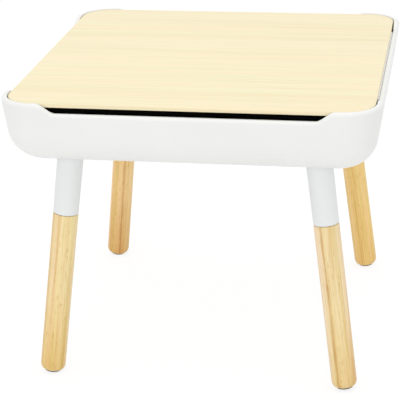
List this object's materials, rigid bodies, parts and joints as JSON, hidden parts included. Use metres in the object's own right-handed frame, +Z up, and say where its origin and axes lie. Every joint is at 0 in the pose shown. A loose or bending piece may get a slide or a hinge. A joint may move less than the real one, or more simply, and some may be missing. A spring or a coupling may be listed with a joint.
{
  "type": "activity table",
  "caption": "Low square play table: white tray with rounded corners and finger dips, wooden lift-out lid, splayed wooden legs in white sleeves.",
  "frame": {"origin": "on the floor, under the centre of the table top", "axes": "+Z up, -Y towards the front edge nearest the viewer, +X to the right"},
  "size_m": [0.551, 0.551, 0.4475],
  "materials": {
    "white_plastic": "satin moulded white",
    "white_rail": "plain moulded white",
    "sleeve_plastic": "satin moulded white",
    "lid_wood": "pale clear-lacquered, fine straight grain",
    "leg_wood": "golden, clear-lacquered, grain along the leg",
    "black_paint": "matt black paint on wood",
    "dark_rubber": "matt",
    "zinc_steel": "zinc plated",
    "brass": "plain turned"
  },
  "bodies": {
    "table": {"tray_shell": "white_plastic", "support_rail_left": "white_rail", "support_rail_right": "white_rail", "rail_screw_left_front": "zinc_steel", "rail_screw_left_middle": "zinc_steel", "rail_screw_left_back": "zinc_steel", "rail_screw_right_front": "zinc_steel", "rail_screw_right_middle": "zinc_steel", "rail_screw_right_back": "zinc_steel", "leg_sleeve_front_left": "sleeve_plastic", "wooden_leg_front_left": "leg_wood", "foot_pad_front_left": "dark_rubber", "leg_bolt_front_left": "zinc_steel", "wedge_washer_front_left": "white_rail", "threaded_insert_front_left": "brass", "leg_sleeve_front_right": "sleeve_plastic", "wooden_leg_front_right": "leg_wood", "foot_pad_front_right": "dark_rubber", "leg_bolt_front_right": "zinc_steel", "wedge_washer_front_right": "white_rail", "threaded_insert_front_right": "brass", "leg_sleeve_back_left": "sleeve_plastic", "wooden_leg_back_left": "leg_wood", "foot_pad_back_left": "dark_rubber", "leg_bolt_back_left": "zinc_steel", "wedge_washer_back_left": "white_rail", "threaded_insert_back_left": "brass", "leg_sleeve_back_right": "sleeve_plastic", "wooden_leg_back_right": "leg_wood", "foot_pad_back_right": "dark_rubber", "leg_bolt_back_right": "zinc_steel", "wedge_washer_back_right": "white_rail", "threaded_insert_back_right": "brass"},
    "lid": {"lid_panel": "lid_wood", "lid_batten_front": "black_paint", "lid_batten_back": "black_paint", "lid_batten_left": "black_paint", "lid_batten_right": "black_paint"}
  },
  "joints": [
    {"name": "lid_lift", "type": "slide", "parent": "table", "child": "lid", "axis": [0, 0, 1], "range_m": [0, 0.12]}
  ]
}
